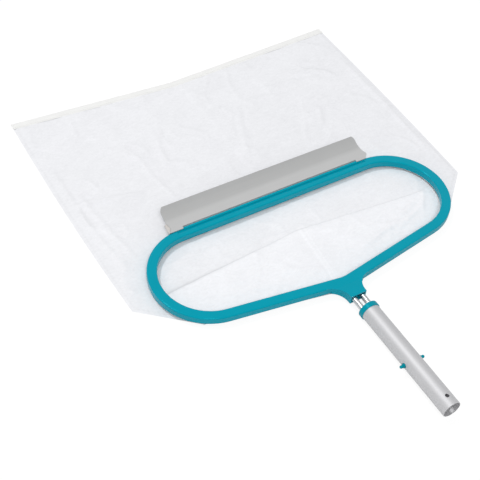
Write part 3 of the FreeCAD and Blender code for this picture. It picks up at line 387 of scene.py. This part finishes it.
teal_cover = rim_plastic("teal_cover_plastic", (0.0, 0.308, 0.411), gloss=0.20)
teal_collar = rim_plastic("teal_collar_plastic", (0.0, 0.28, 0.37), gloss=0.34)
teal_button = rim_plastic("teal_button_plastic", (0.0, 0.26, 0.33), gloss=0.34)
grey_blade = blade_plastic("grey_blade_plastic", (0.488, 0.489, 0.488))
# The clips take the blade's painted shade as well.
pale_clip = blade_plastic("pale_clip_plastic", (0.575, 0.545, 0.52))
bright_rod = drawn_metal("bright_rod_metal", (0.76, 0.76, 0.77), gloss=0.20, axis=1, depth=0.00004)
satin_tube = drawn_metal(
    "satin_tube_metal", (0.66, 0.66, 0.675), gloss=0.50, axis=1, depth=0.00006, metallic=0.60)
steel_fastener = drawn_metal("fastener_steel", (0.62, 0.62, 0.63), gloss=0.25, axis=2, depth=0.00004)
steel_spring = spring_metal("spring_strip_steel", (0.50, 0.51, 0.53))
white_net = net_cloth("white_net_cloth", (0.92, 0.926, 0.955))
cream_tape = tape_cloth("cream_tape_cloth", (0.915, 0.915, 0.905))
pale_band = tape_cloth("pale_band_cloth", (0.84, 0.85, 0.84))
thread = tape_cloth("sewing_thread", (0.84, 0.84, 0.83))

FINISHES = {
    "rim_cover": teal_cover,
    "rim_base_strip": teal_cover,
    "yoke_base": teal_cover,
    "collar_plug": teal_collar,
    "left_button": teal_button,
    "right_button": teal_button,
    "scoop_blade": grey_blade,
    "left_blade_clip": pale_clip,
    "right_blade_clip": pale_clip,
    "hoop_rod": bright_rod,
    "handle_tube": satin_tube,
    "yoke_screws": steel_fastener,
    "rod_pins": steel_fastener,
    "plug_rivet": steel_fastener,
    "v_clip_bow": steel_spring,
    "left_clip_leg": steel_spring,
    "right_clip_leg": steel_spring,
}


def dress_nodes():
    """Give every solid that stays its finish."""
    for node, material in FINISHES.items():
        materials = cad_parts[node].data.materials
        materials.clear()
        materials.append(material)


def add_object(name, data):
    """A new object in the scene."""
    made = bpy.data.objects.new(name, data)
    bpy.context.scene.collection.objects.link(made)
    return made


def mesh_piece(name, points, faces, material, maps=None, smooth=True):
    """A mesh object from points and faces, with an optional map of each point."""
    mesh = bpy.data.meshes.new(name)
    points = [tuple(map(float, point)) for point in points]
    faces = [tuple(map(int, face)) for face in faces]
    mesh.from_pydata(points, [], faces)
    mesh.materials.append(material)
    if smooth:
        mesh.shade_smooth()
        mesh.set_sharp_from_angle(angle=math.radians(75))
    if maps is not None:
        layer = mesh.uv_layers.new(name="cloth_map")
        corner = np.zeros(len(mesh.loops), dtype=np.int32)
        mesh.loops.foreach_get("vertex_index", corner)
        layer.data.foreach_set("uv", np.asarray(maps, dtype=np.float32)[corner].ravel())
    mesh.validate()
    return add_object(name, mesh)


def ground_z(y):
    """Height of the ground under a point."""
    return GROUND_Z + (y - GROUND_Y) * math.tan(GROUND_TILT)


def loop_points(offset, spacing):
    """Points along the rim's loop, moved outwards by an offset, with the outward direction at each."""
    end_r, vertex_r = END_ARC_R + offset, VERTEX_R + offset
    tangent_x = END_ARC_X + end_r * math.sin(NEAR_SLOPE)
    tangent_y = ARC_CENTRE_Y - end_r * math.cos(NEAR_SLOPE)
    vertex_x = vertex_r * math.sin(NEAR_SLOPE)
    vertex_edge_y = VERTEX_CENTRE_Y - vertex_r * math.cos(NEAR_SLOPE)
    points, ways = [], []

    def straight(start, end):
        start, end = np.array(start), np.array(end)
        run = end - start
        count = max(2, int(np.linalg.norm(run) / spacing))
        way = np.array((run[1], -run[0])) / np.linalg.norm(run)
        for share in np.arange(count) / count:
            points.append(start + run * share)
            ways.append(way)

    def curve(centre, radius, start, end):
        count = max(4, int(abs(end - start) * radius / spacing))
        for share in np.arange(count) / count:
            angle = start + (end - start) * share
            way = np.array((math.cos(angle), math.sin(angle)))
            points.append(np.array(centre) + radius * way)
            ways.append(way)

    low, quarter = NEAR_SLOPE, math.pi / 2
    straight((END_ARC_X, ARC_CENTRE_Y + end_r), (-END_ARC_X, ARC_CENTRE_Y + end_r))
    curve((-END_ARC_X, ARC_CENTRE_Y), end_r, quarter, 3 * quarter - low)
    straight((-tangent_x, tangent_y), (-vertex_x, vertex_edge_y))
    curve((0, VERTEX_CENTRE_Y), vertex_r, 3 * quarter - low, 3 * quarter + low)
    straight((vertex_x, vertex_edge_y), (tangent_x, tangent_y))
    curve((END_ARC_X, ARC_CENTRE_Y), end_r, low - quarter, quarter)
    points, ways = np.array(points), np.array(ways)
    outside = np.sum(ways * (points - points.mean(axis=0)), axis=1) > 0
    ways[~outside] *= -1
    return points, ways


def along_line(points, spacing, closed=False):
    """Points spaced evenly along straight runs."""
    points = [np.array(point, dtype=float) for point in points]
    ends = points[1:] + points[:1] if closed else points[1:]
    made = []
    for start, end in zip(points, ends):
        count = max(1, int(round(np.linalg.norm(end - start) / spacing)))
        made += [start + (end - start) * share for share in np.arange(count) / count]
    if not closed:
        made.append(points[-1])
    return np.array(made)


def run_lengths(points):
    """How far along a chain each of its points is."""
    steps = np.linalg.norm(np.diff(np.array(points), axis=0), axis=1)
    return np.concatenate([[0.0], np.cumsum(steps)])


def ripple(run, waves):
    """A sum of waves, at a distance along a piece of cloth."""
    return sum(height * math.sin(run * pace + start) for height, pace, start in waves)


def bowed(start, middle, end, count=12):
    """Points of a shallow bow through three points, without the last."""
    start, middle, end = (np.array(point, dtype=float) for point in (start, middle, end))
    pull = 2 * middle - (start + end) / 2
    shares = (np.arange(count) / count)[:, None]
    return list((1 - shares) ** 2 * start + 2 * shares * (1 - shares) * pull + shares ** 2 * end)


def bag_outline():
    """The bag's outline, with its two sides slightly bowed."""
    corners = [NEAR_LEFT, TUCK_LEFT, NEAR_MIDDLE, TUCK_RIGHT]
    corners += bowed(NEAR_RIGHT, RIGHT_BULGE, FAR_RIGHT)
    corners += [FAR_RIGHT, FAR_MIDDLE]
    corners += bowed(FAR_LEFT, LEFT_BULGE, NEAR_LEFT)
    return corners


def inside(points, polygon):
    """Which points lie inside a polygon."""
    result = np.zeros(len(points), dtype=bool)
    x, y = points[:, 0], points[:, 1]
    for (x0, y0), (x1, y1) in zip(polygon, np.roll(polygon, -1, axis=0)):
        if y0 != y1:
            crosses = (y0 > y) != (y1 > y)
            result ^= crosses & (x < (x1 - x0) * (y - y0) / (y1 - y0) + x0)
    return result


def closed_ring(points):
    """Points of a ring, with the first one again at the end."""
    return np.vstack([points, points[:1]])


def distance_to(points, line):
    """Distance of points from a chain of straight runs, and how far along it the nearest spot is."""
    line = np.array(line, dtype=float)
    best = np.full(len(points), np.inf)
    along = np.zeros(len(points))
    done = 0.0
    for start, end in zip(line[:-1], line[1:]):
        run = end - start
        length = np.linalg.norm(run)
        share = np.clip((points - start) @ run / length ** 2, 0, 1)
        gap = np.linalg.norm(points - start - share[:, None] * run, axis=1)
        nearer = gap < best
        best[nearer] = gap[nearer]
        along[nearer] = done + share[nearer] * length
        done += length
    return best, along / done


def side_of(points, line):
    """Distance from a chain that goes from left to right, positive on its far side."""
    gap, _ = distance_to(points, line)
    level = np.interp(points[:, 0], [x for x, _ in line], [y for _, y in line])
    return np.where(points[:, 1] > level, gap, -gap)


def eased(share):
    """A share from 0 to 1 that starts and ends gently."""
    return share * share * (3 - 2 * share)


def smooth_noise(points, size, seed):
    """Smooth noise from -1 to 1 with features of a given size."""
    cells, shift = 95, 40.0
    lattice = np.random.default_rng(seed).uniform(-1, 1, (cells + 1, cells + 1))
    place = points / size + shift
    low = np.floor(place).astype(int)
    part = eased(place - low)
    column, row = low[:, 0] % cells, low[:, 1] % cells
    near = lattice[column, row] * (1 - part[:, 0]) + lattice[column + 1, row] * part[:, 0]
    far = lattice[column, row + 1] * (1 - part[:, 0]) + lattice[column + 1, row + 1] * part[:, 0]
    return near * (1 - part[:, 1]) + far * part[:, 1]


def ruck(points, size, seed):
    """Soft narrow folds that wander, from 0 to 1."""
    bend = [smooth_noise(points, size * 0.9, seed + 1), smooth_noise(points, size * 0.9, seed + 2)]
    bent = points + 0.45 * size * np.stack(bend, axis=1)
    return (1 - np.abs(smooth_noise(bent, size, seed))) ** 7


def unevenness(points, swells, rucks):
    """Height of the swells and rucks that cover a layer."""
    height = sum(rise * smooth_noise(points, size, seed) for rise, size, seed in swells)
    return height + sum(rise * ruck(points, size, seed) for rise, size, seed in rucks)


def folds_height(points, folds):
    """Height of soft folds along chains, which fade at both ends."""
    height = np.zeros(len(points))
    for line, width, rise in folds:
        gap, along = distance_to(points, line)
        fade = eased(np.clip(np.minimum(along, 1 - along) * 5, 0, 1))
        height += rise * np.exp(-(gap / width) ** 2) * fade
    return height


def band_of(gap, half_width):
    """1 within a distance of a line, with soft sides."""
    return np.clip((half_width - np.abs(gap)) / LINE_SOFTNESS + 0.5, 0, 1)


def even_grid(low, high, step):
    """Points of a grid of even triangles that covers a box."""
    rows = np.arange(low[1], high[1], step * math.sqrt(3) / 2)
    columns = np.arange(low[0], high[0] + step, step)
    return np.array([(x + (row % 2) * step / 2, y) for row, y in enumerate(rows) for x in columns])


def ring_edges(rings):
    """Edges of closed rings whose points follow each other in one list."""
    edges, first = [], 0
    for ring in rings:
        count = len(ring)
        edges += [(first + at, first + (at + 1) % count) for at in range(count)]
        first += count
    return edges


def doubled_areas(corners):
    """Twice the area of each triangle."""
    first_side, last_side = corners[:, 1] - corners[:, 0], corners[:, 2] - corners[:, 0]
    return np.abs(first_side[:, 0] * last_side[:, 1] - first_side[:, 1] * last_side[:, 0])


def triangulate(outline, hole, spacing, lines=()):
    """Even triangles between an outline and an optional hole, with points along some lines as well."""
    edge = along_line(outline, spacing, closed=True)
    rings = [edge] if hole is None else [edge, hole]
    extra = [along_line(line, spacing) for line in lines]
    grid = even_grid(edge.min(axis=0), edge.max(axis=0), spacing * 1.02)
    clearance, sliver = spacing * 0.6, 0.02 * spacing ** 2
    keep = inside(grid, edge)
    if hole is not None:
        keep &= ~inside(grid, hole)
    grid = grid[keep]
    for border in [closed_ring(np.array(outline))] + [closed_ring(ring) for ring in rings[1:]] + extra:
        gap, _ = distance_to(grid, border)
        grid = grid[gap > clearance]
    points = [Vector(point) for point in np.vstack(rings + extra + [grid])]
    placed, _, faces, *_ = delaunay_2d_cdt(points, ring_edges(rings), [], 0, 1e-7)
    placed, faces = np.array([tuple(point) for point in placed]), np.array(faces)
    corners = placed[faces]
    middle = corners.mean(axis=1)
    good = inside(middle, edge) & (doubled_areas(corners) > sliver)
    if hole is not None:
        good &= ~inside(middle, hole)
    used, packed = np.unique(faces[good], return_inverse=True)
    return placed[used], packed.reshape(-1, 3)


def from_outline(points):
    """Distance from the bag's outline, and how far apart its layers are: 0 on it, and 1 further in."""
    gap, _ = distance_to(points, closed_ring(np.array(bag_outline())))
    return gap, eased(np.clip(gap / JOINED_REACH, 0, 1))


def upper_layer(points, mouth):
    """Height of the bag's upper layer above the ground, and its ply."""
    from_mouth, _ = distance_to(points, closed_ring(mouth))
    from_edge, apart = from_outline(points)
    moving = np.clip(from_edge / UPPER_CALM_EDGE, 0, 1) * np.clip(from_mouth / UPPER_CALM_MOUTH, 0, 1)
    height = UPPER_Z + MOUTH_RISE * np.exp(-from_mouth / MOUTH_RISE_REACH)
    height += moving * unevenness(points, UPPER_SWELLS, UPPER_RUCKS)
    height += folds_height(points, UPPER_FOLDS)
    from_far, _ = distance_to(points, FAR_EDGE)
    height = np.minimum(height, UPPER_Z + SLOPE_FROM_TAPE * np.maximum(from_far - TAPE_WIDTH, 0))
    height = JOINED_Z + apart * (np.maximum(height, UPPER_LEAST_Z) - JOINED_Z)
    from_fold, _ = distance_to(points, CENTRE_FOLD)
    seams_and_painted_light = 0.05 * band_of(from_fold, CENTRE_FOLD_HALF)
    seams_and_painted_light -= 0.22 * band_of(from_edge - EDGE_SEAM_INSET, EDGE_SEAM_HALF)
    return height, seams_and_painted_light


def painted_crease_shade(x, beyond):
    """Painted shade just beyond the cross crease: a painted shadow line, and a painted shade that fades."""
    left = np.clip((CREASE_PAINTED_SHADE_START_X - x) / CREASE_PAINTED_SHADE_WIDTH, 0, 1) ** 2
    width = CREASE_PAINTED_SHADOW_LINE + CREASE_PAINTED_SHADOW_GROWTH * left
    # Painted shadow line just beyond the step, then painted shade that fades, both stronger to the left.
    line = (0.24 + 0.45 * left) * np.exp(-((beyond - CREASE_PAINTED_SHADOW_LINE) / width) ** 2)
    return line + 0.20 * left * (beyond > 0) * np.exp(-beyond / CREASE_PAINTED_SHADE_REACH)


def lower_layer(points, mouth):
    """Height of the bag's lower layer above the ground, and its seams and painted light and shade."""
    from_mouth, _ = distance_to(points, closed_ring(mouth))
    _, apart = from_outline(points)
    beyond = side_of(points, CROSS_CREASE)
    near_side = np.clip(0.5 - beyond / CREASE_STEP, 0, 1)
    height = LOWER_Z + CREASE_RISE * near_side * np.exp(np.minimum(beyond, 0) / CREASE_RISE_REACH)
    height += unevenness(points, LOWER_SWELLS, LOWER_RUCKS) + folds_height(points, LOWER_FOLDS)
    from_seam, _ = distance_to(points, CENTRE_SEAM)
    seam_half = np.interp(points[:, 1], (CENTRE_SEAM[1][1], CENTRE_SEAM[0][1]), CENTRE_SEAM_HALVES)
    seam = band_of(from_seam, seam_half)
    height += CENTRE_SEAM_RISE * seam
    height *= np.clip(0.5 + from_mouth / LOWER_DIP_REACH, 0, 1)
    covered = JOINED_Z + apart * (COVERED_Z - JOINED_Z)
    height = np.where(inside(points, mouth), np.maximum(height, LOWER_LEAST_Z), covered)
    # Painted light: the whole lower layer, which shows in the mouth, is lifted, and the crease's near side
    # more; the centre seam's pale band is the cloth's own.
    seams_and_painted_light = 0.06 + 0.14 * near_side + 0.18 * (seam - 0.8 * band_of(from_seam, 0.5 * seam_half))
    return height, seams_and_painted_light - painted_crease_shade(points[:, 0], beyond)


def make_bag():
    """The net bag: an upper layer round the mouth and a lower layer all over, joined along the outline."""
    outline = bag_outline()
    mouth, _ = loop_points(WALL_OFFSET, BAG_SPACING)
    crease_rows = [[(x, y + shift) for x, y in CROSS_CREASE[1:4]] for shift in CREASE_ROWS]
    upper, upper_faces = triangulate(outline, mouth, BAG_SPACING)
    lower, lower_faces = triangulate(outline, None, BAG_SPACING, crease_rows)
    upper_height, upper_ply = upper_layer(upper, mouth)
    lower_height, lower_seams_and_painted_light = lower_layer(lower, mouth)
    flat = np.vstack([upper, lower])
    points = np.column_stack([flat, ground_z(flat[:, 1]) + np.concatenate([upper_height, lower_height])])
    faces = np.vstack([upper_faces, lower_faces[:, ::-1] + len(upper)])
    # The layers' points on the outline fall together, so keeping one of each joins the layers.
    _, kept, shared = np.unique(np.round(points, 6), axis=0, return_index=True, return_inverse=True)
    faces = shared.reshape(-1)[faces]
    # A corner's triangle may fall together in both layers, and then only the upper one stays.
    _, single = np.unique(np.sort(faces, axis=1), axis=0, return_index=True)
    made = mesh_piece("net_bag_cloth", points[kept], faces[np.sort(single)], white_net)
    seams_and_painted_light = made.data.attributes.new("seams_and_painted_light", "FLOAT", "POINT")
    seams_and_painted_light.data.foreach_set("value", np.concatenate([upper_ply, lower_seams_and_painted_light])[kept].astype(np.float32))
    return made


def strip_faces(rows, columns, closed):
    """Quads of a grid of points whose rows may close on themselves."""
    faces = []
    for row in range(rows if closed else rows - 1):
        first, following = row * columns, (row + 1) % rows * columns
        for column in range(columns - 1):
            faces.append((first + column, first + column + 1, following + column + 1, following + column))
    return faces


def band_section(foot, wave):
    """The band's section: over the hoop, then down to the bag."""
    sleeve = [(SLEEVE_R * math.cos(angle), SLEEVE_R * math.sin(angle)) for angle in SLEEVE_ANGLES]
    lean = WALL_OFFSET + SLEEVE_R + wave
    return sleeve + [(lean * share - SLEEVE_R, foot * share) for share in WALL_SHARES]


def make_mouth_band():
    """The band of cloth that wraps the hoop and hangs out of the rim down to the bag."""
    centre, ways = loop_points(0.0, BAND_SPACING)
    points, maps = [], []
    for middle, way, run in zip(centre, ways, run_lengths(centre)):
        section = band_section(ground_z(middle[1]) + WALL_FOOT_LIFT, ripple(run, BAND_WAVES))
        for (out, up), width in zip(section, run_lengths(section)):
            points.append((*(middle + way * out), up))
            maps.append((width, run))
    faces = [face[::-1] for face in strip_faces(len(centre), len(section), closed=True)]
    return mesh_piece("mouth_band_cloth", points, faces, pale_band, maps)


def make_end_tape():
    """The tape folded over the bag's far edge, and the line that its stitches follow."""
    line = along_line(FAR_EDGE, TAPE_SPACING)
    widths = run_lengths(TAPE_SECTION)
    points, maps, seam = [], [], []
    for (x, y), run in zip(line, run_lengths(line)):
        wave = ripple(run, TAPE_WAVES)
        seam_y = y - STITCH_LINE
        seam.append((x, seam_y, ground_z(seam_y) + STITCH_Z + wave))
        for (out, up), width in zip(TAPE_SECTION, widths):
            moving = np.clip((up - TAPE_CALM_Z) / (TAPE_MOVING_Z - TAPE_CALM_Z), 0, 1)
            points.append((x, y + out, ground_z(y + out) + up + wave * moving))
            maps.append((width, run))
    count = len(TAPE_SECTION)
    last = len(points) - count
    ends = [tuple(reversed(range(count))), tuple(range(last, last + count))]
    faces = strip_faces(len(line), count, closed=False) + ends
    return mesh_piece("end_tape_cloth", points, faces, cream_tape, maps), seam


def stitch_tree(material):
    """A node tree that lays short stitches along a curve."""
    tree = bpy.data.node_groups.new("stitch_row", "GeometryNodeTree")
    tree.interface.new_socket("Geometry", in_out="INPUT", socket_type="NodeSocketGeometry")
    sizes = {"Stitch length": STITCH_LENGTH, "Stitch width": STITCH_WIDTH, "Stitch gap": STITCH_GAP}
    for label, value in sizes.items():
        socket = tree.interface.new_socket(label, in_out="INPUT", socket_type="NodeSocketFloat")
        socket.default_value = value
    tree.interface.new_socket("Geometry", in_out="OUTPUT", socket_type="NodeSocketGeometry")
    start, end = tree.nodes.new("NodeGroupInput"), tree.nodes.new("NodeGroupOutput")
    spread = tree.nodes.new("GeometryNodeCurveToPoints")
    spread.mode = "LENGTH"
    bead = tree.nodes.new("GeometryNodeMeshUVSphere")
    bead.inputs["Segments"].default_value = 6
    bead.inputs["Rings"].default_value = 5
    bead.inputs["Radius"].default_value = 0.5
    size = tree.nodes.new("ShaderNodeCombineXYZ")
    shape = tree.nodes.new("GeometryNodeTransform")
    repeat = tree.nodes.new("GeometryNodeInstanceOnPoints")
    real = tree.nodes.new("GeometryNodeRealizeInstances")
    paint = tree.nodes.new("GeometryNodeSetMaterial")
    paint.inputs["Material"].default_value = material
    for source, output, target, into in (
            (start, "Geometry", spread, "Curve"),
            (start, "Stitch gap", spread, "Length"),
            (start, "Stitch width", size, "X"),
            (start, "Stitch width", size, "Y"),
            (start, "Stitch length", size, "Z"),
            (bead, "Mesh", shape, "Geometry"),
            (size, "Vector", shape, "Scale"),
            (spread, "Points", repeat, "Points"),
            (spread, "Rotation", repeat, "Rotation"),
            (shape, "Geometry", repeat, "Instance"),
            (repeat, "Instances", real, "Geometry"),
            (real, "Geometry", paint, "Geometry"),
            (paint, "Geometry", end, "Geometry")):
        tree.links.new(source.outputs[output], target.inputs[into])
    return tree


def make_stitches(name, points, material):
    """A row of stitches along points, made by the tree and kept as a plain mesh."""
    curve = bpy.data.curves.new(name + "_path", "CURVE")
    curve.dimensions = "3D"
    spline = curve.splines.new("POLY")
    spline.points.add(len(points) - 1)
    for place, point in zip(spline.points, points):
        place.co = (*point, 1.0)
    source = add_object(name + "_path", curve)
    source.modifiers.new("stitches", "NODES").node_group = stitch_tree(material)
    evaluated = source.evaluated_get(bpy.context.evaluated_depsgraph_get())
    mesh = bpy.data.meshes.new_from_object(evaluated)
    bpy.data.objects.remove(source)
    mesh.name = name
    mesh.shade_smooth()
    return add_object(name, mesh)


def make_camera():
    """The photograph's view."""
    data = bpy.data.cameras.new("camera")
    data.sensor_width = FILM_WIDTH
    data.lens = FOCAL_LENGTH / PHOTO_WIDTH * FILM_WIDTH
    data.clip_start, data.clip_end = 0.01, 100.0
    camera = add_object("camera", data)
    right, back = Vector(CAMERA_RIGHT).normalized(), Vector(CAMERA_BACK).normalized()
    right = (right - back * right.dot(back)).normalized()
    turn = Matrix((right, back.cross(right), back)).transposed()
    camera.matrix_world = Matrix.Translation(CAMERA_PLACE) @ turn.to_4x4()
    bpy.context.scene.camera = camera


def make_light(name, place, side, power):
    """A soft square lamp that faces the net."""
    data = bpy.data.lights.new(name, "AREA")
    data.shape = "SQUARE"
    data.size = side
    data.energy = power
    lamp = add_object(name, data)
    lamp.location = place
    lamp.rotation_euler = (Vector(LAMP_TARGET) - Vector(place)).to_track_quat("-Z", "Y").to_euler()


def make_floor():
    """A pale floor on the surface that the net lies on. The camera sees it white, with the net's shadow."""
    shader = Shader(bpy.data.materials.new("pale_floor"))
    glow = shader.node("Emission", {"Color": WHITE, "Strength": FLOOR_GLOW})
    shade = shader.node("BsdfDiffuse", {"Color": FLOOR_SHADE_TONE})
    seen = shader.node("AddShader", {0: glow, 1: shade})
    matte = shader.node("BsdfDiffuse", {"Color": FLOOR_TONE})
    camera_ray = shader.node("LightPath", out="Is Camera Ray")
    shader.end(shader.node("MixShader", {0: camera_ray, 1: matte, 2: seen}))
    corners = []
    for x, y in ((-1, -1), (1, -1), (1, 1), (-1, 1)):
        corner_y = FLOOR_MIDDLE_Y + y * FLOOR_HALF
        corners.append((x * FLOOR_HALF, corner_y, ground_z(corner_y) - FLOOR_GAP))
    mesh_piece("floor", corners, [(0, 1, 2, 3)], shader.owner, smooth=False)


def make_world():
    """Plain soft light from all round, and a white background."""
    shader = Shader(bpy.data.worlds.new("studio"))
    camera_ray = shader.node("LightPath", out="Is Camera Ray")
    through_ray = shader.node("LightPath", out="Is Transmission Ray")
    shown = shader.maths("MAXIMUM", camera_ray, through_ray)
    strength = WORLD_LIGHT + (1.0 - WORLD_LIGHT) * shown
    shader.end(shader.node("Background", {"Color": WHITE, "Strength": strength}), "OutputWorld")
    bpy.context.scene.world = shader.owner


make_camera()
dress_nodes()

bag = make_bag()
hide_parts("net_bag")

band = make_mouth_band()
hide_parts("mouth_band")

tape, tape_seam = make_end_tape()
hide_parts("bag_end_tape")

tape_stitches = make_stitches("tape_stitches", tape_seam, thread)

for piece in (bag, band, tape, tape_stitches):
    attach(piece, "frame")

make_floor()
make_world()
make_light("main_lamp", place=(-1.46, 2.35, 5.34), side=0.5, power=96.0)
make_light("near_lamp", place=(-1.2, -2.2, 3.6), side=0.9, power=50.0)
bpy.context.scene.view_settings.view_transform = "Standard"
